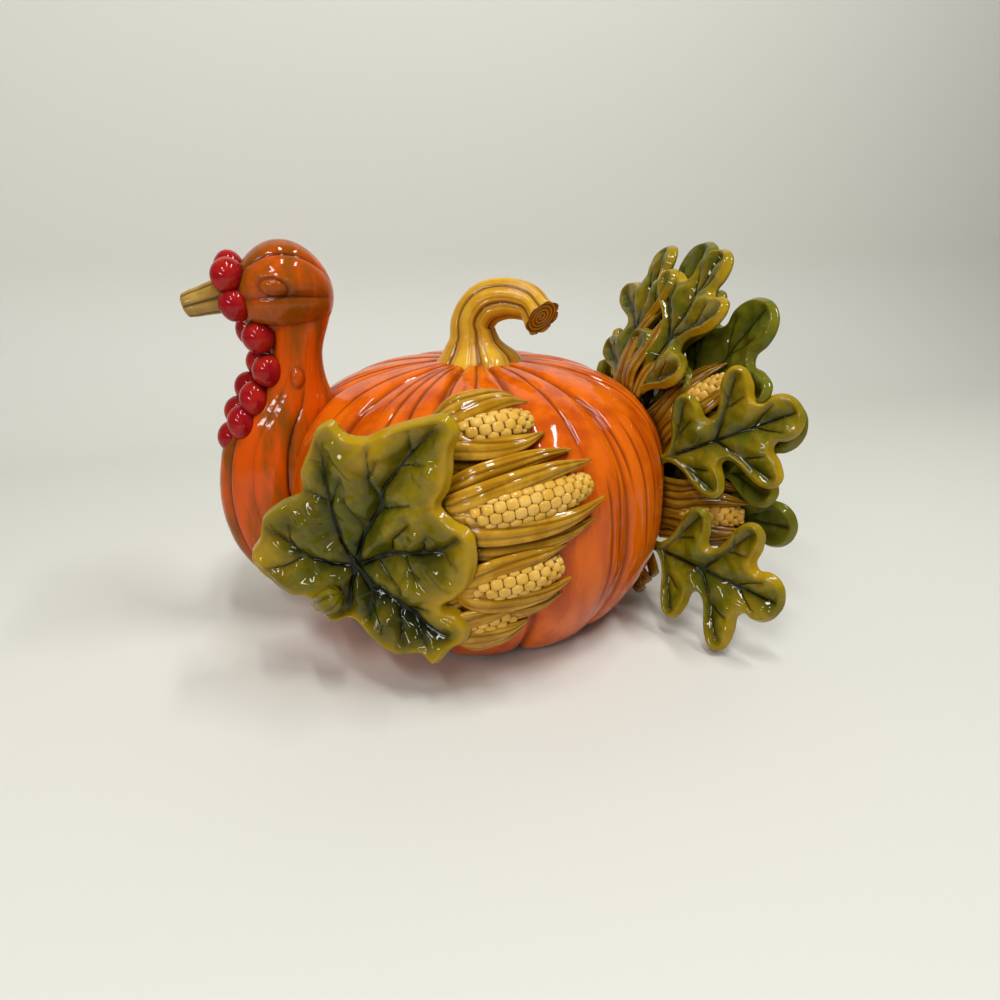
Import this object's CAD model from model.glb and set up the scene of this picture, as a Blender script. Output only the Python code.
import math

import bmesh
import bpy
import numpy as np
from mathutils import Matrix


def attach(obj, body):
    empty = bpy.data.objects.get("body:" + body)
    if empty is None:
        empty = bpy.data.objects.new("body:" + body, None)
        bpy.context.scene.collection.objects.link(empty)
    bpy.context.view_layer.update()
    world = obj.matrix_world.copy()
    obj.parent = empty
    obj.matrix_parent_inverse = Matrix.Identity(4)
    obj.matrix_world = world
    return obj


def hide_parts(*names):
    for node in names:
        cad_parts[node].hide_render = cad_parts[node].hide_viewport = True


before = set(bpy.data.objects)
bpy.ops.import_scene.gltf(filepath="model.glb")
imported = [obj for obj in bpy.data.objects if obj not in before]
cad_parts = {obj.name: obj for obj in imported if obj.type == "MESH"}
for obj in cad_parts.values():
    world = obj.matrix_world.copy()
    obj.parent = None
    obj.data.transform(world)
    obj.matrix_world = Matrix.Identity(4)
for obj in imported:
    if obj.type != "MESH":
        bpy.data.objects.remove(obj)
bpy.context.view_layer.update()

# Pumpkin body. The slip-cast trunk of the bird: a squat hollow pumpkin with rounded lobes. Its creases
# and finer lines are carved in the mould, so the orange glaze pools dark in them. The foot is wiped bare.
MM = 0.001
PUMPKIN_RADIUS = 114.0
PUMPKIN_EQUATOR = 65.0
PUMPKIN_HEIGHT = 151.0
PUMPKIN_UNDER_DEPTH = 100.0
CROWN_POWER = 2.8
UNDER_POWER = 1.85
PUMPKIN_LOBES = 12
RIB_DEPTH = 3.2
RIB_FULL_GIRTH = 70.0
CREASE_WIDTH = 1.6
CREASE_DEPTH = 1.3
LINE_WIDTH = 0.9
LINE_DEPTH = 0.8
LINES_PER_LOBE = 5
FOOT_ROUNDING = 4.0
VENT_RADIUS = 8.0
VENT_OFFSET = 36.0
VENT_DEPTH = 12.0
GLAZE_IOR = 1.33
SEAM_REACH = 5.0
RIPPLE_SIZE = 9.0
RIPPLE_DEPTH = 0.6


def linear(code):
    """An sRGB hex colour as linear values with full alpha."""
    shares = [int(code[start:start + 2], 16) / 255 for start in (1, 3, 5)]
    return [share / 12.92 if share <= 0.04045 else ((share + 0.055) / 1.055) ** 2.4
            for share in shares] + [1.0]


def new_material(name):
    """A material, its node tree and its surface shader."""
    material = bpy.data.materials.new(name)
    material.use_nodes = True
    return material, material.node_tree, material.node_tree.nodes["Principled BSDF"]


def add_node(tree, kind, inputs=(), **settings):
    """A node with its settings; inputs pair a socket's name or number with a value or a socket to link."""
    node = tree.nodes.new(kind)
    for label, value in settings.items():
        setattr(node, label, value)
    for label, source in inputs:
        if isinstance(source, bpy.types.NodeSocket):
            tree.links.new(source, node.inputs[label])
        else:
            node.inputs[label].default_value = source
    return node


def blend(tree, share, first, second):
    """The socket of a colour mixed from two by a share."""
    mix = add_node(tree, "ShaderNodeMix", [(0, share), (6, first), (7, second)], data_type="RGBA")
    return mix.outputs[2]


def glaze(name, coat, wash, pool, rim, wash_size, rim_share=1.0, wash_run=1.0, seam=0.85):
    """A brushed majolica glaze: a clear glossy coat over stains that pool in recesses and thin on edges.

    The wash is a second stain in patches of wash_size mm, drawn out downward by wash_run. The pool is what
    gathers in recesses and, by the share seam, where pieces meet; the rim shows on edges.
    """
    material, tree, shader = new_material(name)
    place = add_node(tree, "ShaderNodeTexCoord").outputs["Object"]
    drawn = add_node(tree, "ShaderNodeVectorMath", [
        (0, place), (1, (1, 1, 1 / wash_run))], operation="MULTIPLY")
    patches = add_node(tree, "ShaderNodeTexNoise", [
        ("Vector", drawn.outputs["Vector"]), ("Scale", 1 / (wash_size * MM)), ("Detail", 4.0),
        ("Roughness", 0.6)])
    patch_share = add_node(tree, "ShaderNodeMapRange", [
        ("Value", patches.outputs["Fac"]), ("From Min", 0.38), ("From Max", 0.66)],
        interpolation_type="SMOOTHSTEP")
    rim_mark = add_node(tree, "ShaderNodeAttribute", attribute_name="rim")
    rim_strength = add_node(tree, "ShaderNodeMath", [
        (0, rim_mark.outputs["Fac"]), (1, rim_share)], operation="MULTIPLY")
    recess_mark = add_node(tree, "ShaderNodeAttribute", attribute_name="recess")
    seams = add_node(tree, "ShaderNodeAmbientOcclusion", [("Distance", SEAM_REACH * MM)], samples=4)
    seam_share = add_node(tree, "ShaderNodeMapRange", [
        ("Value", seams.outputs["AO"]), ("From Min", 0.7), ("From Max", 0.25), ("To Max", seam)])
    colour = blend(tree, patch_share.outputs["Result"], linear(coat), linear(wash))
    colour = blend(tree, rim_strength.outputs["Value"], colour, linear(rim))
    colour = blend(tree, recess_mark.outputs["Fac"], colour, linear(pool))
    colour = blend(tree, seam_share.outputs["Result"], colour, linear(pool))
    runs = add_node(tree, "ShaderNodeTexNoise", [
        ("Vector", place), ("Scale", 1 / (RIPPLE_SIZE * MM)), ("Detail", 2.0)]).outputs["Fac"]
    roughness = add_node(tree, "ShaderNodeMapRange", [("Value", runs), ("To Min", 0.03), ("To Max", 0.09)])
    ripple = add_node(tree, "ShaderNodeBump", [
        ("Height", runs), ("Strength", 0.35), ("Distance", RIPPLE_DEPTH * MM)])
    tree.links.new(colour, shader.inputs["Base Color"])
    tree.links.new(roughness.outputs["Result"], shader.inputs["Roughness"])
    tree.links.new(ripple.outputs["Normal"], shader.inputs["Normal"])
    shader.inputs["IOR"].default_value = GLAZE_IOR
    return material


def crease(angle, lobes):
    """Depth between rounded lobes: 1 at the crease, 0 on the lobe's crest."""
    return (1 - np.abs(np.sin(angle * lobes / 2))) ** 2


def full_turn(count):
    """Angles spread evenly over one turn."""
    return np.linspace(0, 2 * math.pi, count, endpoint=False)


def grid_faces(rows, columns, closed=True):
    """The quads of a grid of points, its rows closed on themselves or open."""
    index = np.arange(rows * columns).reshape(rows, columns)
    following = np.roll(index, -1, axis=1) if closed else index[:, 1:]
    index = index if closed else index[:, :-1]
    return np.stack([index[:-1], following[:-1], following[1:], index[1:]], axis=-1).reshape(-1, 4).tolist()


def loft(rings, recess, rim=0.0):
    """A closed body through equal rings, each end closed on its middle point, with recess and rim marks."""
    rows, columns = rings.shape[:2]
    points = np.concatenate([rings.reshape(-1, 3), [rings[0].mean(0)], [rings[-1].mean(0)]])
    faces = grid_faces(rows, columns)
    for first, middle in ((0, rows * columns), ((rows - 1) * columns, rows * columns + 1)):
        ring = list(range(first, first + columns))
        faces += [[start, end, middle] for start, end in zip(ring, ring[1:] + ring[:1])]
    recess = np.broadcast_to(recess, (rows, columns))
    recess = np.concatenate([recess.ravel(), [recess[0].mean()], [recess[-1].mean()]])
    return points, faces, recess, np.full(len(points), rim)


def add_object(name, data):
    """An object with its data, put in the scene."""
    made = bpy.data.objects.new(name, data)
    bpy.context.scene.collection.objects.link(made)
    return made


def add_piece(name, bodies, finish):
    """A glazed piece from closed bodies of points in mm, faces, recess marks and rim marks."""
    starts = np.cumsum([0] + [len(body[0]) for body in bodies])
    faces = [[start + corner for corner in face] for start, body in zip(starts, bodies) for face in body[1]]
    mesh = bpy.data.meshes.new(name)
    mesh.from_pydata(np.concatenate([body[0] for body in bodies]) * MM, [], faces)
    for column, label in ((2, "recess"), (3, "rim")):
        marks = np.concatenate([body[column] for body in bodies]).astype(np.float32)
        mesh.attributes.new(label, "FLOAT", "POINT").data.foreach_set("value", marks)
    work = bmesh.new()
    work.from_mesh(mesh)
    bmesh.ops.remove_doubles(work, verts=work.verts, dist=0.01 * MM)
    bmesh.ops.recalc_face_normals(work, faces=work.faces)
    work.to_mesh(mesh)
    work.free()
    mesh.shade_smooth()
    mesh.materials.append(finish)
    piece = add_object(f"glazed_{name}", mesh)
    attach(piece, "root")
    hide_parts(name)
    return piece


def pumpkin_radius_at(z):
    above = z >= PUMPKIN_EQUATOR
    depth = np.where(above, PUMPKIN_HEIGHT - PUMPKIN_EQUATOR, PUMPKIN_UNDER_DEPTH)
    power = np.where(above, CROWN_POWER, UNDER_POWER)
    share = np.minimum(1, np.abs(z - PUMPKIN_EQUATOR) / depth)
    return PUMPKIN_RADIUS * (1 - share ** power) ** (1 / power)


def bell(distance, width):
    """Closeness, from 1 at no distance to nearly 0 at twice the width."""
    return np.exp(-(distance / width) ** 2)


rising = np.sin(np.radians(np.linspace(89, 0, 72))) ** 0.9
falling = np.linspace(0, 1, 56)[1:]
pumpkin_levels = np.concatenate([
    PUMPKIN_EQUATOR + (PUMPKIN_HEIGHT - PUMPKIN_EQUATOR) * rising, PUMPKIN_EQUATOR * (1 - falling)])
pumpkin_girth = pumpkin_radius_at(pumpkin_levels)
near_foot = np.clip(1 - pumpkin_levels / (1.5 * FOOT_ROUNDING), 0, 1)
pumpkin_girth -= FOOT_ROUNDING * (1 - np.sqrt(1 - near_foot ** 2))
azimuths = full_turn(720)
slope = np.stack([-np.gradient(pumpkin_levels), np.gradient(pumpkin_girth)])
outward_girth, outward_level = slope / np.linalg.norm(slope, axis=0)
descent = np.linspace(0, 1, len(pumpkin_levels))[:, None]


def carved_line(azimuth, width, start, end):
    """Closeness to a line carved down the pumpkin at an azimuth, between two shares of the way down."""
    wobble = 0.012 * np.sin(9 * descent + 40 * azimuth)
    turn = (azimuths[None] - azimuth - wobble + math.pi) % (2 * math.pi) - math.pi
    closeness = bell(turn * pumpkin_girth[:, None], width)
    fade = np.clip((descent - start) / 0.06, 0, 1) * np.clip((end - descent) / 0.1, 0, 1)
    return closeness * fade


carver = np.random.default_rng(11)
crease_lines = np.zeros((len(pumpkin_levels), len(azimuths)))
fine_lines = np.zeros_like(crease_lines)
for lobe in range(PUMPKIN_LOBES):
    lobe_azimuth = 2 * math.pi * lobe / PUMPKIN_LOBES
    crease_lines = np.maximum(crease_lines, carved_line(lobe_azimuth, CREASE_WIDTH, -0.1, 1.1))
    for line in range(LINES_PER_LOBE):
        offset = (line + 0.5 + carver.uniform(-0.25, 0.25)) / LINES_PER_LOBE * 2 * math.pi / PUMPKIN_LOBES
        start = carver.uniform(-0.1, 0.5)
        end = start + carver.uniform(0.2, 0.5)
        fine_lines = np.maximum(fine_lines, carved_line(lobe_azimuth + offset, LINE_WIDTH, start, end))
spread = np.minimum(1, pumpkin_girth / RIB_FULL_GIRTH)[:, None]
sunk = (RIB_DEPTH * crease(azimuths, PUMPKIN_LOBES)[None] + CREASE_DEPTH * crease_lines) * spread
sunk = sunk + LINE_DEPTH * fine_lines * spread
reach = pumpkin_girth[:, None] - sunk * outward_girth[:, None]
levels = np.maximum(0, pumpkin_levels[:, None] - sunk * outward_level[:, None])
skin = np.stack([reach * np.cos(azimuths), reach * np.sin(azimuths), levels], axis=-1)
vent = np.stack([VENT_OFFSET + VENT_RADIUS * np.cos(azimuths), VENT_RADIUS * np.sin(azimuths),
                 np.zeros(len(azimuths))], axis=-1)
foot = [skin[-1] + (vent - skin[-1]) * share for share in (0.03, 0.3, 0.65, 0.97, 1.0)]
tube = [vent + [0, 0, VENT_DEPTH * share] for share in (0.1, 1.0)]
pumpkin_rings = np.concatenate([skin, foot, tube])
line_marks = np.zeros(pumpkin_rings.shape[:2])
line_marks[:len(skin)] = np.maximum(0.7 * crease_lines, 0.85 * fine_lines)
pumpkin_glaze = glaze(
    "pumpkin_orange_glaze", "#DC6408", "#BC4A06", "#5E1E04", "#E98F2E", 16, wash_run=5, seam=0.45)
pumpkin = add_piece("pumpkin_body", [loft(pumpkin_rings, line_marks)], pumpkin_glaze)

# Bare bisque on the wiped foot and in the vent: porous, matt, pale buff clay.
BISQUE_GRAIN = 2.0
BISQUE_RELIEF = 0.3

bisque, clay, clay_shader = new_material("unglazed_bisque")
clay_place = add_node(clay, "ShaderNodeTexCoord").outputs["Object"]
clay_grain = add_node(clay, "ShaderNodeTexNoise", [
    ("Vector", clay_place), ("Scale", 1 / (BISQUE_GRAIN * MM)), ("Detail", 4.0)]).outputs["Fac"]
clay_tone = blend(clay, clay_grain, linear("#D9C7A8"), linear("#EADCC3"))
clay_bump = add_node(clay, "ShaderNodeBump", [
    ("Height", clay_grain), ("Strength", 0.3), ("Distance", BISQUE_RELIEF * MM)])
clay.links.new(clay_tone, clay_shader.inputs["Base Color"])
clay.links.new(clay_bump.outputs["Normal"], clay_shader.inputs["Normal"])
clay_shader.inputs["Roughness"].default_value = 0.85
pumpkin.data.materials.append(bisque)
for face in pumpkin.data.polygons:
    in_vent = math.hypot(face.center.x - VENT_OFFSET * MM, face.center.y) < VENT_RADIUS * MM
    if face.center.z < 0.05 * MM or in_vent and face.center.z < 1.5 * VENT_DEPTH * MM:
        face.material_index = 1

# Pumpkin stem. A fluted stalk that flares onto the crown, curls over to the rear and turns its cut end to
# the left. Its ridges stay golden where the brown stain runs off, and the cut end shows rings.
STEM_RADIUS = 12.6
STEM_FLARE = 28.0
STEM_HEIGHT = 35.0
STEM_REACH = 38.5
STEM_FLUTES = 7
STEM_TWIST = 0.5
END_RING = 2.3
END_RIPPLE = 0.35
END_SINK = 1.2


def smooth_through(rows, positions):
    """Values on smooth curves through rows of a position and its values."""
    rows = np.asarray(rows, float)
    knots, values = rows[:, 0], rows[:, 1:]
    slopes = np.gradient(values, knots, axis=0)
    places = np.clip(positions, knots[0], knots[-1])
    index = np.clip(np.searchsorted(knots, places, side="right") - 1, 0, len(knots) - 2)
    span = (knots[index + 1] - knots[index])[..., None]
    share = (places - knots[index])[..., None] / span
    start = (1 + 2 * share) * (1 - share) ** 2
    bend = span * share * (1 - share) * ((1 - share) * slopes[index] - share * slopes[index + 1])
    return start * values[index] + (1 - start) * values[index + 1] + bend


def unit(vectors):
    return vectors / np.linalg.norm(vectors, axis=-1, keepdims=True)


def path_through(points, count):
    """Evenly spaced points on a smooth path through a few points."""
    points = np.asarray(points, float)
    length = np.concatenate([[0], np.cumsum(np.linalg.norm(np.diff(points, axis=0), axis=1))])
    return smooth_through(np.column_stack([length, points]), np.linspace(0, length[-1], count))


def around(place, side, out, across, rise):
    """Rings round the places of a path, from offsets to its side and outward at each of them."""
    return place[:, None] + across[..., None] * side[:, None] + rise[..., None] * out[:, None]


def swept(path, outward, turn, section):
    """Rings of a section round a path, at angles that go from the path's side to its outward way."""
    tangent = unit(np.gradient(path, axis=0))
    side = unit(np.cross(tangent, outward))
    return around(path, side, np.cross(side, tangent), section * np.cos(turn), section * np.sin(turn))


stem_path = path_through([
    (STEM_REACH * rear, -STEM_REACH * left, PUMPKIN_HEIGHT + STEM_HEIGHT * rise)
    for rear, left, rise in ((0, 0, -0.15), (-0.04, -0.02, 0.29), (-0.04, -0.02, 0.58), (0.12, 0.06, 0.86),
                             (0.4, 0.2, 0.97), (0.66, 0.38, 0.92), (0.8, 0.7, 0.7))], 90)
stem_share = np.linspace(0, 1, len(stem_path))
stem_girth = STEM_RADIUS * smooth_through(
    [(0, STEM_FLARE / STEM_RADIUS), (0.07, 1.95), (0.14, 1.5), (0.22, 1.15), (0.32, 1.03), (0.5, 1),
     (0.8, 0.84), (0.93, 0.76), (1, 0.9)], stem_share)
stem_turn = full_turn(168)
twist = STEM_TWIST * stem_share[:, None]
stem_flutes = crease(stem_turn + twist, STEM_FLUTES)
stem_lines = crease(stem_turn + twist + 0.2, 2 * STEM_FLUTES)
stem_section = stem_girth * (1 - 0.17 * stem_flutes - 0.05 * stem_lines)
stem_side = unit(np.array([0.4, 0.8, -0.4]))
stem_rings = swept(stem_path, stem_side, stem_turn, stem_section)
stem_end = stem_rings[-1]
end_middle = stem_end.mean(0)
end_axis = unit(stem_path[-1] - stem_path[-3])
end_rings = []
end_marks = []
for share in np.linspace(0.94, 0.04, 26):
    ring_reach = np.linalg.norm(stem_end - end_middle, axis=1) * share
    spiral = np.cos(2 * math.pi * (ring_reach / END_RING + stem_turn / (2 * math.pi)))
    sink = end_axis * (END_RIPPLE * spiral - END_SINK)[:, None]
    end_rings.append(end_middle + (stem_end - end_middle) * share + sink)
    end_marks.append(0.6 - 0.35 * spiral)
stem_marks = np.concatenate([np.clip(1.1 * stem_flutes ** 1.5 + 0.3 * stem_lines ** 2, 0, 1), end_marks])
stem_body = loft(np.concatenate([stem_rings, end_rings]), stem_marks)
stem_glaze = glaze("stem_golden_glaze", "#C8901E", "#D8A830", "#6A3A0A", "#E7C76A", 22)
add_piece("pumpkin_stem", [stem_body], stem_glaze)

# Head gourd. A small ribbed gourd whose ribs run from the beak to the back of the head, with an almond eye
# and its lid moulded on both sides.
HEAD_LENGTH = 52.0
HEAD_WIDTH = 46.0
HEAD_HEIGHT = 46.0
HEAD_JOWL = 1.25
HEAD_CROWN = 0.95
HEAD_DROOP = 0.14
HEAD_LEVEL = 196.0
HEAD_SET_BACK = 9.0
HEAD_CREASES = (-52, -12, 46, 90, 134, 192, 232)
EYE_LENGTH = 13.0
EYE_X = -4.9
EYE_LEVEL = -1.3
EYE_SLANT = 0.15


def lobe_crease(angle, creases):
    """Depth between rounded lobes whose creases lie at given degrees, in order within one turn."""
    edges = np.radians([*creases, creases[0] + 360])
    turned = (angle - edges[0]) % (2 * math.pi) + edges[0]
    lobe = np.clip(np.searchsorted(edges, turned, side="right") - 1, 0, len(creases) - 1)
    share = (turned - edges[lobe]) / (edges[lobe + 1] - edges[lobe])
    return (1 - np.sin(math.pi * share)) ** 2


head_middle = np.array([HEAD_SET_BACK - PUMPKIN_RADIUS, 0, HEAD_LEVEL])
head_turn = np.radians(np.linspace(3, 177, 130))[:, None]
head_around = full_turn(288)
head_creases = lobe_crease(head_around, HEAD_CREASES) * np.sin(head_turn) ** 0.5
crease_line = np.clip(head_creases * 4 - 3, 0, 1)
head_girth = np.sin(head_turn) * (1 - 0.08 * head_creases - 0.025 * crease_line)
head_x = -HEAD_LENGTH / 2 * np.cos(head_turn) + 0 * head_around
head_y = HEAD_WIDTH / 2 * head_girth * np.cos(head_around)
head_fullness = np.where(np.sin(head_around) < 0, HEAD_JOWL, HEAD_CROWN)
head_rise = HEAD_HEIGHT / 2 * head_fullness * head_girth * np.sin(head_around)
head_z = head_rise - HEAD_HEIGHT * HEAD_DROOP * np.cos(head_turn) ** 2
eye_run = (head_x - EYE_X) / (EYE_LENGTH / 2)
eye_rise = (head_z - EYE_LEVEL + EYE_SLANT * (head_x - EYE_X)) / (EYE_LENGTH / 3)
eye_size = np.sqrt(np.abs(eye_run) ** 1.6 + eye_rise ** 2)
on_side = np.abs(np.cos(head_around)) > 0.5
eyeball = np.where(on_side, np.sqrt(np.clip(1 - eye_size ** 2, 0, 1)), 0)
eye_ring = np.where(on_side, bell(eye_size - 1.08, 0.12), 0)
lid = np.where(on_side & (eye_rise > -0.2), bell(eye_size - 1.45, 0.2), 0)
head_y = head_y + np.sign(head_y) * (1.5 * eyeball - 0.5 * eye_ring + 0.8 * lid)
head_rings = np.stack([head_x, head_y, head_z], axis=-1) + head_middle
head_marks = np.clip(0.6 * crease_line + 0.35 * head_creases + 0.4 * eye_ring, 0, 1)
gourd_glaze = glaze(
    "gourd_amber_glaze", "#D25004", "#8A480A", "#3A1604", "#C98A2B", 14, wash_run=4, seam=0.45)
add_piece("head_gourd", [loft(head_rings, head_marks)], gourd_glaze)

# Neck gourd. The swelling breast luted to the pumpkin's front, narrowing to the neck, with long shallow
# grooves and a small almond boss on each side.
NECK_RADIUS = 17.5
NECK_FOOT = 20.0
NECK_FLARE = 6.0
NECK_TOP = HEAD_LEVEL - HEAD_HEIGHT * 0.37
NECK_SWAY = 0.16
NECK_GROOVES = (50, 75, 110, 145, 180, 215, 250, 285, 310)
BREAST_REACH = 36.0
BREAST_HALF_WIDTH = 23.0
BOSS_LENGTH = 9.0
BOSS_WIDTH = 6.0
BOSS_X = -102.4
BOSS_LEVEL = 148.0
FLANK_START = 8.0

neck_stations = [
    (0.02, 0.2, 0.4), (0.08, 0.52, 0.7), (0.17, 0.8, 0.91), (0.27, 0.95, 1), (0.38, 1, 1), (0.49, 0.95, 0.96),
    (0.57, 0.86, 0.9), (0.64, 0.7, 0.84), (0.71, 0.44, 0.77), (0.78, 0.2, 0.71), (0.86, 0.06, 0.68),
    (1, 0.06, 0.64)]
neck_back = head_middle[0] + NECK_RADIUS
neck_rise = np.linspace(0.02, 1, 150)
neck_reach, neck_width = smooth_through(neck_stations, neck_rise).T[..., None]
neck_around = full_turn(288)
neck_sway = NECK_SWAY * np.cos(2 * math.pi * neck_rise)[:, None] * np.sin(neck_around)
neck_grooves = lobe_crease(neck_around + neck_sway, NECK_GROOVES)
groove_line = np.clip(neck_grooves * 5 - 4, 0, 1)
groove_fade = smooth_through([(0.06, 0), (0.2, 1), (0.7, 1), (0.82, 0.45), (1, 0.3)], neck_rise)
groove_fade = groove_fade * (0.6 + 0.4 * np.sin(5 * neck_around + 4 * neck_rise[:, None]))
neck_girth = 1 - (0.06 * neck_grooves + 0.03 * groove_line) * groove_fade
neck_front = -PUMPKIN_RADIUS - BREAST_REACH * neck_reach
neck_flare = NECK_FLARE * smooth_through([(0.7, 0.8), (0.8, 0.1), (0.86, 0), (1, 1)], neck_rise)
neck_centre = (neck_front + neck_back + neck_flare) / 2
neck_x = neck_centre + (neck_centre - neck_front) * neck_girth * np.cos(neck_around)
neck_y = BREAST_HALF_WIDTH * neck_width * neck_girth * np.sin(neck_around)
neck_z = (NECK_FOOT + (NECK_TOP - NECK_FOOT) * neck_rise)[:, None] + 0 * neck_around
boss_size = np.hypot((neck_x - BOSS_X) / (BOSS_WIDTH / 2), (neck_z - BOSS_LEVEL) / (BOSS_LENGTH / 2))
on_flank = np.abs(neck_y) > FLANK_START
boss = np.exp(-boss_size ** 4) * on_flank
boss_ring = bell(boss_size - 1.2, 0.2) * on_flank
neck_y = neck_y + np.sign(neck_y) * (1.4 * boss - 0.5 * boss_ring)
neck_rings = np.stack([neck_x, neck_y, neck_z], axis=-1)
neck_marks = np.clip((0.65 * groove_line + 0.35 * neck_grooves) * groove_fade + 0.4 * boss_ring, 0, 1)
add_piece("neck_gourd", [loft(neck_rings, neck_marks)], gourd_glaze)

# Beak. A short fluted gourd stalk set in the face and angled down, pale gold with olive in its flutes.
BEAK_LENGTH = 26.0
BEAK_RADIUS = 9.3
BEAK_SINK = 6.0
BEAK_DROP = math.radians(14)
BEAK_FLUTES = 6

beak_root = head_middle + [1 - HEAD_LENGTH / 2, 0, -HEAD_HEIGHT * 0.1]
beak_axis = np.array([-math.cos(BEAK_DROP), 0, -math.sin(BEAK_DROP)])
beak_share = np.linspace(0, 1, 60)
beak_path = beak_root + beak_axis * (-BEAK_SINK + (BEAK_LENGTH + BEAK_SINK) * beak_share)[:, None]
beak_girth = BEAK_RADIUS * smooth_through(
    [(0, 1.05), (0.35, 0.97), (0.7, 0.8), (0.9, 0.7), (0.97, 0.6), (1, 0.4)], beak_share)
beak_turn = full_turn(120)
beak_flutes = crease(beak_turn, BEAK_FLUTES)
beak_up = np.array([0, 0, 1.0])
beak_rings = swept(beak_path, beak_up, beak_turn, beak_girth * (1 - 0.16 * beak_flutes))
beak_body = loft(beak_rings, np.clip(1.2 * beak_flutes - 0.2, 0, 1))
beak_glaze = glaze("beak_pale_gold_glaze", "#9C7632", "#B29048", "#4A3810", "#E3D48E", 18)
add_piece("beak", [beak_body], beak_glaze)

# Wattle. Round berries pressed on in pairs down the face and the front of the neck, with one at the end,
# crimson with a little orange showing where the stain is thin.
BERRY_RADIUS = 8.4
BERRY_GAP = 0.6
BERRY_STAGGER = 2.0
BERRY_LEAD = 3.5
BERRY_ROWS = ((0.55, 0.4), (-1.18, 0.4), (-3.2, 0.85), (-5.3, 0.25), (-7.03, 0.25), (-8.5, -0.15))
FACE_ROWS = 2
END_DROP = -9.7
BERRY_SWELL = 1.05
BERRY_LUMP = 9.0


def neck_front_at(z, y):
    reach, width = smooth_through(neck_stations, (z - NECK_FOOT) / (NECK_TOP - NECK_FOOT))
    front = -PUMPKIN_RADIUS - BREAST_REACH * reach
    centre = (front + neck_back) / 2
    return centre - (centre - front) * math.sqrt(1 - (y / (BREAST_HALF_WIDTH * width)) ** 2)


def head_front_at(z, y):
    rise = (z - HEAD_LEVEL) / (HEAD_HEIGHT / 2)
    turn = y / (HEAD_WIDTH / 2)
    return head_middle[0] - HEAD_LENGTH / 2 * math.sqrt(max(0, 1 - rise * rise - turn * turn))


berry_places = []
berry_nodes = ["end_berry"]
for number, (drop, stand_out) in enumerate(BERRY_ROWS, 1):
    for side, raised, lead in ((-1, 0, 0), (1, BERRY_STAGGER, BERRY_LEAD)):
        z = HEAD_LEVEL + BERRY_RADIUS * drop + raised
        y = (BERRY_RADIUS + BERRY_GAP) * side
        front = head_front_at(z, y) if number <= FACE_ROWS else neck_front_at(z, y) - lead
        berry_places.append((front - BERRY_RADIUS * stand_out, y, z))
    berry_nodes += [f"left_berry_{number}", f"right_berry_{number}"]
end_level = HEAD_LEVEL + BERRY_RADIUS * END_DROP
berry_places.append((neck_front_at(end_level, 0) + BERRY_RADIUS * 0.5, 0, end_level))


def scatter_tree(name, inputs):
    """A node tree that works on points, its sockets for the inputs and the finish, and its input node."""
    tree = bpy.data.node_groups.new(name, "GeometryNodeTree")
    tree.interface.new_socket("Geometry", in_out="INPUT", socket_type="NodeSocketGeometry")
    sockets = [tree.interface.new_socket(label, in_out="INPUT", socket_type=f"NodeSocket{kind}")
               for label, kind in (*inputs, ("Finish", "Material"))]
    tree.interface.new_socket("Geometry", in_out="OUTPUT", socket_type="NodeSocketGeometry")
    return tree, sockets, add_node(tree, "NodeGroupInput")


def end_scatter(tree, given, shape, turn, size):
    """The end of a scatter tree: the shape set on each point, turned and sized, made real and glazed."""
    copies = add_node(tree, "GeometryNodeInstanceOnPoints", [
        ("Points", given.outputs["Geometry"]), ("Instance", shape.outputs["Geometry"]),
        ("Rotation", turn), ("Scale", size)])
    real = add_node(tree, "GeometryNodeRealizeInstances", [("Geometry", copies.outputs["Instances"])])
    smooth = add_node(tree, "GeometryNodeSetShadeSmooth", [("Geometry", real.outputs["Geometry"])])
    glazed = add_node(tree, "GeometryNodeSetMaterial", [
        ("Geometry", smooth.outputs["Geometry"]), ("Material", given.outputs["Finish"])])
    add_node(tree, "NodeGroupOutput", [("Geometry", glazed.outputs["Geometry"])])


def grown(name, places, tree, inputs, marks=()):
    """A plain mesh object from a scatter tree on points in mm, with marks on the points."""
    seeds = bpy.data.meshes.new(name)
    seeds.from_pydata(np.asarray(places) * MM, [], [])
    for label, values in marks:
        seeds.attributes.new(label, "FLOAT_VECTOR", "POINT").data.foreach_set("vector", np.ravel(values))
    piece = add_object(name, seeds)
    modifier = piece.modifiers.new(name, "NODES")
    modifier.node_group = tree
    for socket, value in inputs:
        modifier[socket.identifier] = value
    settled = piece.evaluated_get(bpy.context.evaluated_depsgraph_get())
    mesh = bpy.data.meshes.new_from_object(settled)
    piece.modifiers.remove(modifier)
    piece.data = mesh
    return piece


berry_tree, berry_sockets, berry_input = scatter_tree("wattle_berries", [("Berry Radius", "Float")])
berry_ball = add_node(berry_tree, "GeometryNodeMeshUVSphere", [
    ("Segments", 40), ("Rings", 24), ("Radius", berry_input.outputs["Berry Radius"])])
berry_place = add_node(berry_tree, "GeometryNodeInputPosition").outputs["Position"]
berry_lumps = add_node(berry_tree, "ShaderNodeTexNoise", [
    ("Vector", berry_place), ("Scale", 1 / (BERRY_LUMP * MM)), ("Detail", 0.0)])
berry_swell = add_node(berry_tree, "ShaderNodeMapRange", [
    ("Value", berry_lumps.outputs["Fac"]), ("To Min", 0.97), ("To Max", 1.03)])
berry_shape = add_node(berry_tree, "ShaderNodeVectorMath", [
    ("Vector", berry_place), ("Scale", berry_swell.outputs["Result"])], operation="SCALE")
berry_lumpy = add_node(berry_tree, "GeometryNodeSetPosition", [
    ("Geometry", berry_ball.outputs["Mesh"]), ("Position", berry_shape.outputs["Vector"])])
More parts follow.
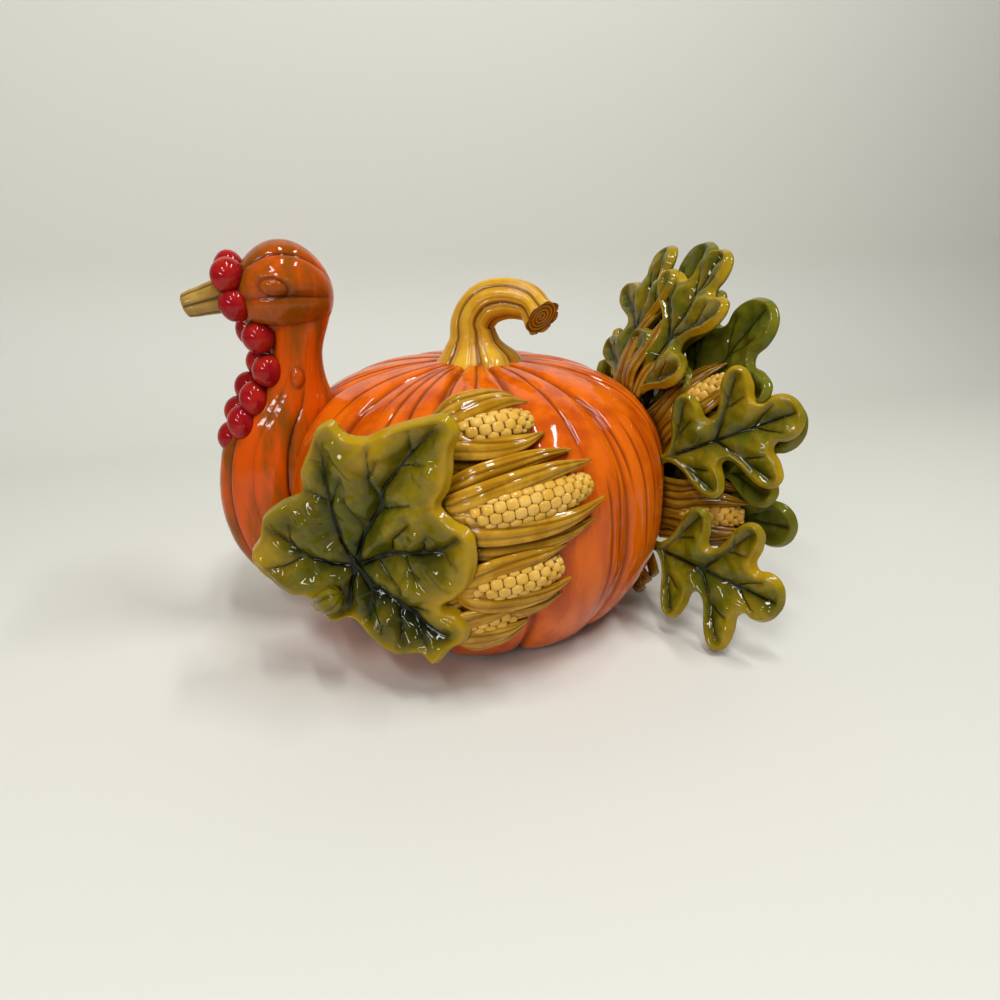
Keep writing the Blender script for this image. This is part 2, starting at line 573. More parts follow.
berry_turn = add_node(berry_tree, "FunctionNodeRandomValue", [
    (1, (0.3, 0.3, 6.0)), ("Seed", 4)], data_type="FLOAT_VECTOR")
berry_scale = add_node(berry_tree, "FunctionNodeRandomValue", [
    (0, (0.86, 0.88, 0.97)), (1, (0.97, 0.98, 1.1)), ("Seed", 9)], data_type="FLOAT_VECTOR")
end_scatter(berry_tree, berry_input, berry_lumpy, berry_turn.outputs["Value"], berry_scale.outputs["Value"])

berry_glaze = glaze("berry_crimson_glaze", "#900A16", "#A82012", "#42050C", "#D24A1E", 10)
berry_values = [BERRY_RADIUS * BERRY_SWELL * MM, berry_glaze]
berries = grown("wattle_berries", berry_places, berry_tree, zip(berry_sockets, berry_values))
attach(berries, "root")
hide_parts(*berry_nodes)

# Leaf wings. A broad lobed squash leaf leans against each flank, pressed thin with a rolled rim and deep
# veins, its stub of stalk curled up in front. Green gathers in the veins and the rims stay amber.
WING_AZIMUTH = math.radians(-122)
WING_LEVEL = 67.0
WING_SHIFT = 28.0
WING_STANDOFF = 2.0
WING_DISH = 7.0
WING_DISH_SPAN = 70.0
WING_RUFFLE = 2.5
WING_MARGIN = 5.0
WING_PILLOW = 8.0
WING_FOLD = 6.5
WING_WAVES = 2.2
WING_LIP = 2.0
LEAF_THICKNESS = 4.5
BACK_VEIN = 0.9
BACK_STAIN = 0.7
BACK_AMBER = 0.2
MAIN_VEIN = 1.7
SIDE_VEIN_END = 0.5
STALK_RADIUS = 6.2
STALK_FLUTES = 6
STALK_AMBER = 0.15
RIGHT_TURN = math.radians(26)
RIGHT_DROP = 16.0
AMBER_TOUCHES = ((-47, 2, 11), (44, -15, 9), (57, 18, 9), (16, 58, 12))
MIRROR = np.array([1, -1, 1])

wing_outline = np.array([
    (-2, 76), (-10, 72), (-17, 60), (-23, 50), (-25, 38), (-37, 31), (-45, 24), (-48, 13), (-54, 4),
    (-54, -3), (-44, -15), (-35, -20), (-25, -20), (-18, -25), (-14, -31), (-3, -30), (5, -36), (13, -41),
    (24, -43), (35, -41), (42, -45), (51, -36), (58, -31), (60, -23), (54, -16), (48, -14), (53, -10),
    (60, -2), (64, 8), (65, 18), (62, 29), (54, 32), (47, 38), (51, 46), (53, 54), (54, 65), (57, 75),
    (53, 81), (39, 79), (24, 74), (12, 69), (4, 70)])
wing_veins = [
    ([(0, 0), (-11, 0), (-22, 1), (-31, 8), (-46, 20)], 2.4, 0.8),
    ([(0, 0), (-7, 14), (-10, 29), (-11, 47), (-11, 68)], 2.6, 0.8),
    ([(0, 0), (6, 18), (15, 32), (19, 44), (30, 58), (45, 74)], 2.8, 0.8),
    ([(0, 0), (19, 9), (36, 12), (46, 15), (55, 23)], 2.6, 0.8),
    ([(0, 0), (8, -10), (22, -17), (35, -25), (48, -30)], 2.6, 0.8),
    ([(4, -6), (8, -14), (6, -27)], 1.8, 0.7), ([(0, 0), (-3, -12), (-5, -25)], 2.2, 1.6)]
wing_veins += [(path, width, SIDE_VEIN_END) for width, path in (
    (1.1, [(-33, 9), (-32, 20)]), (1.2, [(-28, 2), (-38, -3), (-45, -4)]),
    (1.2, [(-11, 34), (-19, 38), (-23, 41)]), (1.0, [(-11, 53), (-16, 56)]),
    (1.2, [(-10, 31), (-5, 41), (-2, 47)]), (1.3, [(16, 38), (13, 49), (15, 65)]),
    (0.9, [(14, 51), (18, 57)]), (1.2, [(7, 20), (3, 27), (-1, 37)]), (1.1, [(33, 62), (34, 73)]),
    (1.1, [(28, 55), (41, 58)]), (1.3, [(15, 32), (33, 38)]), (1.3, [(19, 9), (23, 19), (31, 27)]),
    (1.1, [(37, 13), (40, 22)]), (1.0, [(46, 15), (53, 10)]), (1.3, [(12, 6), (24, -7)]),
    (1.2, [(26, 10), (34, 0)]), (1.2, [(23, -18), (26, -35)]), (1.1, [(33, -24), (39, -37)]),
    (1.1, [(24, -18), (39, -17)]), (1.0, [(8, -20), (14, -31)]))]


def closed_outline(corners, count):
    """Points evenly along a smooth closed outline through its corners."""
    wrapped = np.concatenate([corners[-3:], corners, corners[:4]])
    length = np.concatenate([[0], np.cumsum(np.linalg.norm(np.diff(wrapped, axis=0), axis=1))])
    places = np.linspace(length[3], length[-4], count, endpoint=False)
    return smooth_through(np.column_stack([length, wrapped]), places)


def strip_distance(points, path):
    """How far points of a plane lie from a bent line, and how far along the line they are nearest."""
    nearest = np.full(points.shape[:-1], 1e9)
    progress = np.zeros(points.shape[:-1])
    path = np.asarray(path, float)
    for number, (start, end) in enumerate(zip(path[:-1], path[1:])):
        run = end - start
        share = np.clip((points - start) @ run / max(run @ run, 1e-9), 0, 1)
        away = np.linalg.norm(points - start - share[..., None] * run, axis=-1)
        progress = np.where(away < nearest, (number + share) / (len(path) - 1), progress)
        nearest = np.minimum(away, nearest)
    return nearest, progress


def vein_relief(points, veins, pillow, fold):
    """Marks of the veins, the height in mm of the pillowed panels between them, and the shade beside them."""
    mark = np.zeros(points.shape[:-1])
    near_main = np.zeros(points.shape[:-1])
    near_side = np.zeros(points.shape[:-1])
    for path, start_width, end_width in veins:
        away, progress = strip_distance(points, path)
        width = start_width + (end_width - start_width) * progress
        mark = np.maximum(mark, bell(away, 0.36 * width) * np.clip(width / 1.1, 0.5, 1))
        if start_width > MAIN_VEIN:
            near_main += np.exp(-away / 1.5)
        else:
            near_side += np.exp(-away)
    main_away = np.maximum(0, -1.5 * np.log(near_main))
    side_dip = np.minimum(1, near_side ** (1 / (0.3 * fold)))
    height = pillow * np.maximum(-0.15, 0.85 - np.exp(-main_away / fold) - 0.3 * side_dip)
    shade = np.maximum(0.65 * np.exp(-main_away / (0.65 * fold)), 0.4 * side_dip)
    return mark, height, shade


def gentle_waves(plan):
    """The uneven hand-pressed surface of a leaf, about 1 mm either way."""
    run, rise = plan[..., 0], plan[..., 1]
    broad = np.sin(run / 5.3 + 1.3 * np.sin(rise / 9)) * np.sin(rise / 6.1 + 1.1 * np.sin(run / 8))
    return broad + 0.45 * np.sin(run / 2.3 + 1.7 * np.sin(rise / 4)) * np.sin(rise / 2.7 + np.sin(run / 3.4))


def over_leaf(axes, plan, level):
    """Points at a level over a leaf's plan; axes are its origin and its ways along, across and out."""
    origin, along, across, out = axes
    return origin + plan[..., :1] * along + plan[..., 1:] * across + level[..., None] * out


def pressed_leaf(axes, plan, edge, lift, vein, height, inside, lip):
    """Points of a leaf's front and then of its back, with a rolled edge, a lip on the front and veins.

    Edge is how far points of the plan lie from the outline, lift is the level of the leaf's middle, height
    is the front's relief and inside the share of the relief at each point.
    """
    front = inside * height + lip * bell(edge - 2.2, 2)
    rolled = np.clip(edge / (0.7 * LEAF_THICKNESS), 0, 1)
    roll = LEAF_THICKNESS / 2 * np.sqrt(1 - (1 - rolled) ** 2)
    sheets = [over_leaf(axes, plan, lift + roll + front * np.clip(edge / 2, 0, 1)),
              over_leaf(axes, plan, lift - roll + BACK_VEIN * vein * inside)]
    return np.concatenate([sheet.reshape(-1, 3) for sheet in sheets])


def both_sides(faces, count):
    """The faces of a leaf's front and of its back, whose points follow the count of the front's."""
    return faces + [[corner + count for corner in face] for face in faces]


def both_marks(front, back):
    """Marks on a leaf's front, kept between 0 and 1, and on its back."""
    return np.concatenate([np.clip(front, 0, 1).ravel(), np.broadcast_to(back, front.shape).ravel()])


wing_out = np.array([math.cos(WING_AZIMUTH), math.sin(WING_AZIMUTH), 0])
wing_right = np.array([-wing_out[1], wing_out[0], 0])
wing_middle = wing_out * (PUMPKIN_RADIUS + WING_STANDOFF) - wing_right * WING_SHIFT + [0, 0, WING_LEVEL]
wing_axes = (wing_middle, wing_right, np.array([0, 0, 1.0]), wing_out)
wing_edge = closed_outline(wing_outline, 440)
wing_shares = 1 - (1 - np.linspace(0.004, 1, 80)[:, None]) ** 1.25
wing_plan = wing_edge[None] * wing_shares[..., None]
edge_distance = strip_distance(wing_plan, np.concatenate([wing_edge, wing_edge[:1]]))[0]
wing_size = np.linalg.norm(wing_edge, axis=1)[None]
wing_heading = np.arctan2(wing_edge[:, 1], wing_edge[:, 0])[None]
wing_lift = wing_shares ** 2 * WING_DISH * wing_size / WING_DISH_SPAN
wing_lift = wing_lift + WING_RUFFLE * np.sin(5 * wing_heading) * wing_shares ** 3 - LEAF_THICKNESS / 2
vein_mark, panels, wing_shade = vein_relief(wing_plan, wing_veins, WING_PILLOW, WING_FOLD)
wing_height = panels + WING_WAVES * gentle_waves(wing_plan) * (1 - wing_shade)
near_rim = bell(edge_distance, WING_MARGIN)
wing_inside = 1 - near_rim
wing_points = pressed_leaf(
    wing_axes, wing_plan, edge_distance, wing_lift, vein_mark, wing_height, wing_inside, WING_LIP)
wing_faces = grid_faces(len(wing_shares), len(wing_edge))
wing_faces.append(list(range(len(wing_edge))))

# Amber shows on the leaf's rim, its crests and a few touched spots. The dark stain lies in the veins and
# beside them, round the middle, low down and in patches.
crest = np.clip(panels / WING_PILLOW, 0, 1) ** 2
patchy = gentle_waves(wing_plan / 2)
touched = sum(bell(np.hypot(wing_plan[..., 0] - run, wing_plan[..., 1] - rise), size)
              for run, rise, size in AMBER_TOUCHES)
amber = (0.5 + 0.5 * patchy) * near_rim + 0.35 * crest + 0.3 * wing_shares ** 4 + 0.5 * touched
shaded = wing_shade + 0.25 * bell(wing_shares * wing_size, 26)
shaded = shaded + 0.2 * np.clip(-wing_plan[..., 1] / 30, 0, 1) + 0.35 * np.clip(0.2 - patchy - touched, 0, 1)
wing_recess = both_marks(
    np.clip(vein_mark + shaded, 0, 1) * wing_inside, BACK_STAIN * vein_mark * wing_inside)
wing_body = (wing_points, both_sides(wing_faces, edge_distance.size), wing_recess,
             both_marks(amber, BACK_AMBER))

stalk_plan = np.array([(-19, -22), (-15, -19), (-10, -15.5), (-5, -12)], float)
stalk_path = path_through(over_leaf(wing_axes, stalk_plan, np.array([-1.0, 6, 9, 9])), 40)
stalk_share = np.linspace(0, 1, len(stalk_path))
stalk_girth = STALK_RADIUS * smooth_through(
    [(0, 1.2), (0.4, 1), (0.8, 1), (0.94, 0.8), (1, 0.4)], stalk_share)
stalk_turn = full_turn(64)
stalk_flutes = crease(stalk_turn, STALK_FLUTES)
stalk_rings = swept(stalk_path, wing_out, stalk_turn, stalk_girth * (1 - 0.12 * stalk_flutes))
wing_bodies = [wing_body, loft(stalk_rings, 0.2 + 0.6 * stalk_flutes, STALK_AMBER)]
leaf_glaze = glaze("leaf_olive_glaze", "#52580A", "#8A7814", "#0C1203", "#B08A0E", 14, 0.9)


def add_pair(name, finish, bodies, right_bodies=None):
    """A left-hand piece, and on the right its mirror image or that of other left-hand bodies."""
    add_piece(f"left_{name}", bodies, finish)
    flipped = [(points * MIRROR, *rest) for points, *rest in right_bodies or bodies]
    add_piece(f"right_{name}", flipped, finish)


# The right flank's leaf and corn sit lower and further back than the left's.
turn_back = np.array([[math.cos(RIGHT_TURN), math.sin(RIGHT_TURN), 0],
                      [-math.sin(RIGHT_TURN), math.cos(RIGHT_TURN), 0], [0, 0, 1]])
set_back = [(points @ turn_back - [0, 0, RIGHT_DROP], *rest) for points, *rest in wing_bodies]
add_pair("wing_leaf", leaf_glaze, wing_bodies, set_back)

# Corn cobs. Ears moulded in half relief on the flanks behind the wings and between the tail leaves: a cob
# core with rows of plump kernels, the core stained brown and the kernels golden cream.
COB_RADIUS = 11.0
COB_SINK = 0.35
COB_GIRTH = [(0.2, 0.5), (0.36, 0.92), (0.6, 1), (0.86, 0.76), (0.96, 0.5), (1, 0.25)]
COB_STAIN = 0.7
TAIL_COB_RADIUS = 9.0
TAIL_LEVEL = 58.0
TAIL_DEPTH = 30.0
KERNEL_LENGTH = 5.8
KERNEL_WIDTH = 5.3
KERNEL_HEIGHT = 3.4
KERNEL_ARC = 200.0
KERNEL_START = 0.24
KERNEL_RUN = 0.74
KERNEL_FULLNESS = 0.56
KERNEL_ROUNDNESS = 0.7
EAR_START = -0.12
EAR_END = 1.1

# Shares of an ear's length along its path, which runs on a little past both ends.
ear_shares = np.linspace(EAR_START, EAR_END, 62)


def ear_on_pumpkin(start, end, turn=0.0, drop=0.0):
    """The path of an ear over the pumpkin's skin, and the way out from it."""
    azimuth = np.radians(start[0] + (end[0] - start[0]) * ear_shares) + turn
    level = start[1] + (end[1] - start[1]) * ear_shares
    z = PUMPKIN_EQUATOR + level * (PUMPKIN_HEIGHT - PUMPKIN_EQUATOR) - drop
    girth = pumpkin_radius_at(z) + COB_RADIUS * COB_SINK
    path = np.stack([girth * np.cos(azimuth), girth * np.sin(azimuth), z], axis=-1)
    return path, unit(path - [0, 0, PUMPKIN_EQUATOR])


def fan_point(angle, share, x):
    """A point of the tail fan, at an angle from straight up and a share of the pumpkin's radius."""
    turn = math.radians(angle)
    radius = PUMPKIN_RADIUS * share
    return np.array([x, -radius * math.sin(turn), TAIL_LEVEL + radius * math.cos(turn)])


def fan_ends(angle, start, end, back):
    """The root on the pumpkin of a piece of the tail fan, and its tip, set back in the tail's depth."""
    root = fan_point(angle, start, 0)
    skin = pumpkin_radius_at(root[2]) - RIB_DEPTH
    root[0] = math.sqrt(skin ** 2 - root[1] ** 2)
    return root, fan_point(angle, end, PUMPKIN_RADIUS + TAIL_DEPTH * back)


def ear_in_tail(angle, start, end, back):
    """The straight path of an ear in the tail fan, and the way out from it."""
    root, tip = fan_ends(angle, start, end, back)
    return root + (tip - root) * ear_shares[:, None], np.array([-1.0, 0, 0])


def along_ear(ear, share):
    """Place, side, way out and direction on an ear's path at shares of its length."""
    path, outward = ear
    tangent = unit(np.gradient(path, axis=0))
    side = unit(np.cross(tangent, outward))
    rows = np.column_stack([ear_shares, path, side, np.cross(side, tangent), tangent])
    return np.split(smooth_through(rows, share), 4, axis=-1)


def cob_core(ear, radius):
    share = np.linspace(0.2, 1, 40)
    place, side, out, _ = along_ear(ear, share)
    turn = full_turn(36)
    girth = (radius - KERNEL_HEIGHT * 0.55) * smooth_through(COB_GIRTH, share)
    return loft(around(place, side, out, girth * np.cos(turn), girth * np.sin(turn)), COB_STAIN)


def kernel_seeds(ear, radius):
    """Places, turns and sizes of the kernels in staggered rows along a cob."""
    ear_length = np.linalg.norm(ear[0][-1] - ear[0][0]) * 0.8 / (EAR_END - EAR_START)
    count = max(6, round(ear_length / KERNEL_LENGTH))
    rows = 1 + round(math.radians(KERNEL_ARC) * radius / KERNEL_WIDTH)
    seeds = []
    for row in range(rows):
        turn = math.radians(90 + KERNEL_ARC * (row / (rows - 1) - 0.5))
        for number in range(count):
            share = KERNEL_START + KERNEL_RUN * (number + 0.5 * (row % 2) + 0.25) / count
            place, side, out, tangent = along_ear(ear, np.array(share))
            girth = float(smooth_through(COB_GIRTH, np.array(share))[0])
            normal = side * math.cos(turn) + out * math.sin(turn)
            across = np.cross(normal, tangent)
            basis = Matrix(np.column_stack([unit(tangent), unit(across), unit(normal)]).tolist())
            size = 0.5 + 0.5 * girth
            middle = place + normal * (radius * girth - KERNEL_HEIGHT * 0.5)
            seeds.append((middle, basis.to_euler(), (size, size, 1)))
    return seeds


kernel_tree, kernel_sockets, kernel_input = scatter_tree(
    "corn_kernels", [("Kernel Size", "Vector"), ("Roundness", "Float")])
kernel_block = add_node(kernel_tree, "GeometryNodeMeshCube", [
    ("Size", (2.0, 2.0, 2.0)), ("Vertices X", 4), ("Vertices Y", 4), ("Vertices Z", 4)])
kernel_place = add_node(kernel_tree, "GeometryNodeInputPosition").outputs["Position"]
kernel_ball = add_node(
    kernel_tree, "ShaderNodeVectorMath", [("Vector", kernel_place)], operation="NORMALIZE")
kernel_shape = add_node(kernel_tree, "ShaderNodeMix", [
    (0, kernel_input.outputs["Roundness"]), (4, kernel_place), (5, kernel_ball.outputs["Vector"])],
    data_type="VECTOR").outputs[1]
kernel_scaled = add_node(kernel_tree, "ShaderNodeVectorMath", [
    (0, kernel_shape), (1, kernel_input.outputs["Kernel Size"])], operation="MULTIPLY")
kernel_body = add_node(kernel_tree, "GeometryNodeSetPosition", [
    ("Geometry", kernel_block.outputs["Mesh"]), ("Position", kernel_scaled.outputs["Vector"])])
kernel_height = add_node(kernel_tree, "ShaderNodeSeparateXYZ", [("Vector", kernel_shape)])
kernel_crest = add_node(kernel_tree, "ShaderNodeMapRange", [
    ("Value", kernel_height.outputs["Z"]), ("From Min", 0.65), ("From Max", 1.0)])
kernel_marked = add_node(kernel_tree, "GeometryNodeStoreNamedAttribute", [
    ("Geometry", kernel_body.outputs["Geometry"]), ("Name", "rim"),
    ("Value", kernel_crest.outputs["Result"])])
kernel_turn, kernel_scale = [
    add_node(kernel_tree, "GeometryNodeInputNamedAttribute", [("Name", label)], data_type="FLOAT_VECTOR")
    for label in ("turn", "size")]
end_scatter(kernel_tree, kernel_input, kernel_marked,
            kernel_turn.outputs["Attribute"], kernel_scale.outputs["Attribute"])

# Every ear with its group's name, its number, its left and right paths, its cob's radius, and how far its
# husk spreads at the foot and opens along the cob.
ears = []
for number, (start, end, size, opening) in enumerate((
        ((-121, 0.73), (-88, 0.82), 0.9, 1.05), ((-119, 0.33), (-76, 0.5), 1.0, 1.0),
        ((-114, -0.05), (-85, 0.07), 0.95, 0.85), ((-116, -0.33), (-95, -0.2), 0.75, 0.7)), 1):
    right_ear = ear_on_pumpkin(start, end, RIGHT_TURN, RIGHT_DROP)
    ears.append(("corn", number, ear_on_pumpkin(start, end), right_ear, COB_RADIUS * size, 0, opening))
for number, place in enumerate(((33, 0.46, 0.88, 0.67), (84, 0.4, 0.72, 0.77)), 1):
    ears.append(("tail", number, ear_in_tail(*place), ear_in_tail(*place), TAIL_COB_RADIUS, 1.0, 1.0))

cob_glaze = glaze("cob_golden_cream_glaze", "#D09C36", "#DEB256", "#5C3008", "#F6E8BE", 10, 0.9)
left_seeds = []
right_seeds = []
for group, number, left_ear, right_ear, radius, _, _ in ears:
    add_pair(f"{group}_cob_{number}", cob_glaze,
             [cob_core(left_ear, radius)], [cob_core(right_ear, radius)])
    left_seeds += kernel_seeds(left_ear, radius)
    right_seeds += kernel_seeds(right_ear, radius)
kernel_places = [place for place, _, _ in left_seeds] + [place * MIRROR for place, _, _ in right_seeds]
kernel_turns = [tuple(turn) for _, turn, _ in left_seeds]
kernel_turns += [(-turn.x, turn.y, -turn.z) for _, turn, _ in right_seeds]
kernel_sizes = [size for _, _, size in left_seeds + right_seeds]
kernel_half = (KERNEL_LENGTH * KERNEL_FULLNESS * MM, KERNEL_WIDTH * KERNEL_FULLNESS * MM,
               KERNEL_HEIGHT / 2 * MM)
kernels = grown("corn_kernels", kernel_places, kernel_tree,
                zip(kernel_sockets, [kernel_half, KERNEL_ROUNDNESS, cob_glaze]),
                [("turn", kernel_turns), ("size", kernel_sizes)])
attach(kernels, "root")

# Husks. Long blades of husk folded back on both sides of each cob, ochre with a few uneven brown lines.
HUSK_LINES = ((-0.62, 0.45), (-0.3, 0.8), (0.12, 0.3), (0.55, 0.65))
HUSK_LINE_WIDTH = 0.13
HUSK_CREST = 2.6
HUSK_BELLY = 3.0
LOW_HUSK_SIZE = 0.8


def husk_blade(ear, radius, rows, stain):
    """A lined blade along an ear, from rows of share, offset in cob radii, height and half width in mm."""
    share = np.linspace(rows[0][0], rows[-1][0], 44)
    offset, height, half_width = smooth_through(rows, share).T[..., None]
    place, side, out, _ = along_ear(ear, share)
    turn = full_turn(44)
    run = np.cos(turn)
    top = np.clip(np.sin(turn), 0, 1)
    flutes = 0 * share[:, None] * run
    for number, (line, depth) in enumerate(HUSK_LINES):
        wander = line + 0.12 * np.sin(5 * share[:, None] + 2.4 * number + rows[0][1] * 7)
        flutes = np.maximum(flutes, depth * bell(run - wander, HUSK_LINE_WIDTH) * top)
    drop = (offset * radius) ** 2 / (2 * PUMPKIN_RADIUS)
    across = offset * radius + half_width * run
    swell = np.minimum(1, half_width / 3)
    crest = HUSK_CREST * top * swell * (1 - 0.25 * run ** 2)
    rise = height - drop + np.where(np.sin(turn) > 0, crest, HUSK_BELLY * np.sin(turn)) - flutes * swell
    return loft(around(place, side, out, across, rise), np.clip(flutes + stain, 0, 1))


def husk_bodies(ear, radius, spread, opening=1.0, tip=0.5):
    """The blades of one husk, spread at the foot of the ear by a share of the radius and open along the cob.

    The tip is half the width of a blade's end. Husks that spread at the foot, those of the tail, carry more
    of the brown stain.
    """
    foot = -5 * (1 - spread)
    stain = 0.35 * spread
    bodies = [husk_blade(
        ear, radius, [(0.02, 0, foot, 6), (0.18, 0, 3.5, 8), (0.3, 0, 5, 6), (0.42, 0, 3, 0.8)], stain)]
    for way in (-1, 1):
        bodies.append(husk_blade(ear, radius, [
            (0.02, (0.2 + 0.5 * spread) * way, foot, 5), (0.25, 0.6 * opening * way, 5.5, 6.4),
            (0.5, 0.95 * opening * way, 6.5, 6), (0.78, 1.08 * opening * way, 5.5, 4.2),
            (1.06, 0.88 * way, 1.5, tip)], stain))
        bodies.append(husk_blade(ear, radius, [
            (0.02, (0.6 + spread) * way, foot, 5), (0.28, 1.4 * way, 1.5, 6.2), (0.55, 1.75 * way, 0.8, 5.2),
            (0.8, 1.8 * way, 0, 2.7 + 0.4 * tip), (0.98, 1.6 * way, -1, tip)], stain))
    return bodies


husk_glaze = glaze("husk_ochre_glaze", "#AC780E", "#C8962A", "#4A2804", "#DDBD66", 14)
for group, number, left_ear, right_ear, radius, spread, opening in ears:
    left_husk, right_husk = [husk_bodies(ear, radius, spread, opening) for ear in (left_ear, right_ear)]
    add_pair(f"{group}_husk_{number}", husk_glaze, left_husk, right_husk)
middle_husk = husk_bodies(ear_in_tail(0, 0.58, 1.0, 0.3), TAIL_COB_RADIUS, 1.0, tip=2.0)
add_piece("tail_husk_middle", middle_husk, husk_glaze)
low_ear = ear_in_tail(130, 0.36, 0.58, -0.7)
low_husk = husk_bodies(low_ear, TAIL_COB_RADIUS * LOW_HUSK_SIZE, 1.0, tip=5.5)
low_husk.append(husk_blade(low_ear, TAIL_COB_RADIUS, [(0.3, 0, 5, 6), (0.7, 0, 5, 7), (1.04, 0, 2, 5)], 0.2))
add_pair("tail_husk_low", husk_glaze, low_husk)

# Tail leaves. Oak leaves fanned out behind the pumpkin: a veined front row with amber rims and a darker,
# smoother row behind it. Each is a pressed slab of clay, cupped and with a soft rolled edge.
TAIL_LEAF_WIDTH = 0.86
TAIL_LEAF_CUP = 30.0
TAIL_LEAF_BEND = 4.0
TAIL_MARGIN = 4.0
TAIL_PILLOW = 5.5
TAIL_FOLD = 6.0
TAIL_WAVES = 1.4
TAIL_LIP = 1.4
AMBER_MARGIN = 3.5
FRONT_DEPTH = 1.0
REAR_DEPTH = 0.8
LEAF_ROWS = 150
LEAF_COLUMNS = 101

oak_stations = [
    (0, 0, 0.035), (0.06, 0.07, 0.05), (0.1, 0.13, 0.13), (0.14, 0.18, 0.27), (0.18, 0.24, 0.37),
    (0.22, 0.31, 0.405), (0.26, 0.375, 0.37), (0.3, 0.4, 0.28), (0.345, 0.405, 0.19), (0.39, 0.45, 0.165),
    (0.43, 0.505, 0.22), (0.46, 0.56, 0.34), (0.5, 0.63, 0.43), (0.54, 0.705, 0.455), (0.58, 0.765, 0.41),
    (0.63, 0.775, 0.3), (0.69, 0.755, 0.2), (0.745, 0.79, 0.155), (0.8, 0.85, 0.17), (0.86, 0.92, 0.155),
    (0.92, 0.975, 0.1), (0.97, 0.998, 0.03), (1, 1, 0)]
oak_veins = [([(0.04, 0), (0.5, 0.0), (0.95, 0)], 2.6, 1.2)]
for way in (-1, 1):
    oak_veins += [
        ([(0.1, 0), (0.2, 0.16 * way), (0.31, 0.34 * way)], 2.0, 0.9),
        ([(0.42, 0), (0.54, 0.17 * way), (0.69, 0.38 * way)], 2.0, 0.9),
        ([(0.68, 0), (0.75, 0.05 * way), (0.84, 0.1 * way)], 1.4, 0.8),
        ([(0.18, 0.13 * way), (0.31, 0.19 * way)], 1.5, 0.9),
        ([(0.21, 0.18 * way), (0.2, 0.31 * way)], 1.5, 0.9),
        ([(0.55, 0.19 * way), (0.69, 0.22 * way)], 1.5, 0.9),
        ([(0.59, 0.24 * way), (0.59, 0.37 * way)], 1.5, 0.9)]


def oak_leaf(angle, start, end, back, tilt, breadth, depth):
    """One oak leaf of the tail fan, from its root on the pumpkin to its tip, with its share of relief."""
    root, tip = fan_ends(angle, start, end, back)
    length = np.linalg.norm(tip - root)
    direction = (tip - root) / length
    turn = math.radians(angle)
    flat = np.array([0, -math.cos(turn), -math.sin(turn)])
    lean = math.radians(tilt)
    across = flat * math.cos(lean) + np.cross(direction, flat) * math.sin(lean) \
        + direction * (direction @ flat) * (1 - math.cos(lean))
    axes = (root, direction, across, unit(np.cross(across, direction)))
    rib = np.linspace(0, 1, LEAF_ROWS)
    edge_reach, edge_width = smooth_through(oak_stations, rib).T[..., None]
    rib = rib[:, None]
    spread = TAIL_LEAF_WIDTH * breadth
    even = np.linspace(-1, 1, LEAF_COLUMNS)
    column = 0.6 * even + 0.4 * np.sin(math.pi / 2 * even)
    reach = rib + (edge_reach - rib) * np.abs(column)
    width = np.maximum(0, edge_width * spread) * column
    plan = np.stack([reach, width], axis=-1) * length
    outline = np.concatenate([plan[:, 0], plan[::-1, -1], plan[:1, 0]])
    edge = strip_distance(plan, outline)[0]
    veins = [([(run * length, rise * spread * length) for run, rise in path], first, last)
             for path, first, last in oak_veins]
    vein, panels, shade = vein_relief(plan, veins, TAIL_PILLOW * depth, TAIL_FOLD)
    height = panels + TAIL_WAVES * gentle_waves(plan) * (1 - shade)
    inside = 1 - bell(edge, TAIL_MARGIN)
    lift = TAIL_LEAF_CUP * width ** 2 - TAIL_LEAF_BEND * rib ** 2 - LEAF_THICKNESS / 2
    points = pressed_leaf(axes, plan, edge, lift, vein, height, inside, TAIL_LIP)
    faces = both_sides(grid_faces(*edge.shape, closed=False), edge.size)
    recess = both_marks(np.clip(vein + shade, 0, 1) * inside * depth, BACK_STAIN * vein * inside)
    crest = np.clip(panels / TAIL_PILLOW, 0, 1) ** 2
    patchy = 0.5 + 0.4 * gentle_waves(plan / 2)
    amber = both_marks(patchy * bell(edge, AMBER_MARGIN) + 0.4 * crest, BACK_AMBER)
    return points, faces, recess, amber


front_leaves = [
    (12, 0.58, 1.385, 0.7, 0, 0.92), (54, 0.55, 1.13, 1.1, 12, 1.07), (99, 0.57, 1.2, 0.4, -12, 1.22)]
rear_leaves = [(25, 0.23, 1.23, 1.2, 0, 1), (54, 0.21, 1.07, 1.25, 0, 1), (86, 0.19, 0.93, 1.25, 0, 1)]
rear_leaf_glaze = glaze("rear_leaf_dark_green_glaze", "#464E10", "#646212", "#101604", "#8A7C1C", 24, 0.8)
for number, leaf in enumerate(front_leaves, 1):
    add_pair(f"tail_leaf_front_{number}", leaf_glaze, [oak_leaf(*leaf, FRONT_DEPTH)])
for number, leaf in enumerate(rear_leaves, 1):
    add_pair(f"tail_leaf_rear_{number}", rear_leaf_glaze, [oak_leaf(*leaf, REAR_DEPTH)])
top_leaf = oak_leaf(0, 0.35, 1.38, 0.95, 0, 1, REAR_DEPTH)
add_piece("tail_leaf_rear_top", [top_leaf], rear_leaf_glaze)

# Studio. A pale floor that runs up into a pale wall, long strip lamps overhead and at the left, and the
# photograph's camera.
FLOOR_SPAN = 3.0
WALL_DISTANCE = 0.55
COVE_RADIUS = 0.18
LAMP_TARGET = (0, 0, 0.08)
FOCAL_PIXELS = 751.0
IMAGE_PIXELS = 1000.0
SENSOR_WIDTH = 36
CAMERA_PLACE = (-0.11383, -0.42473, 0.22879)
CAMERA_YAW = math.radians(-16.7974)
CAMERA_PITCH = math.radians(20.7806)

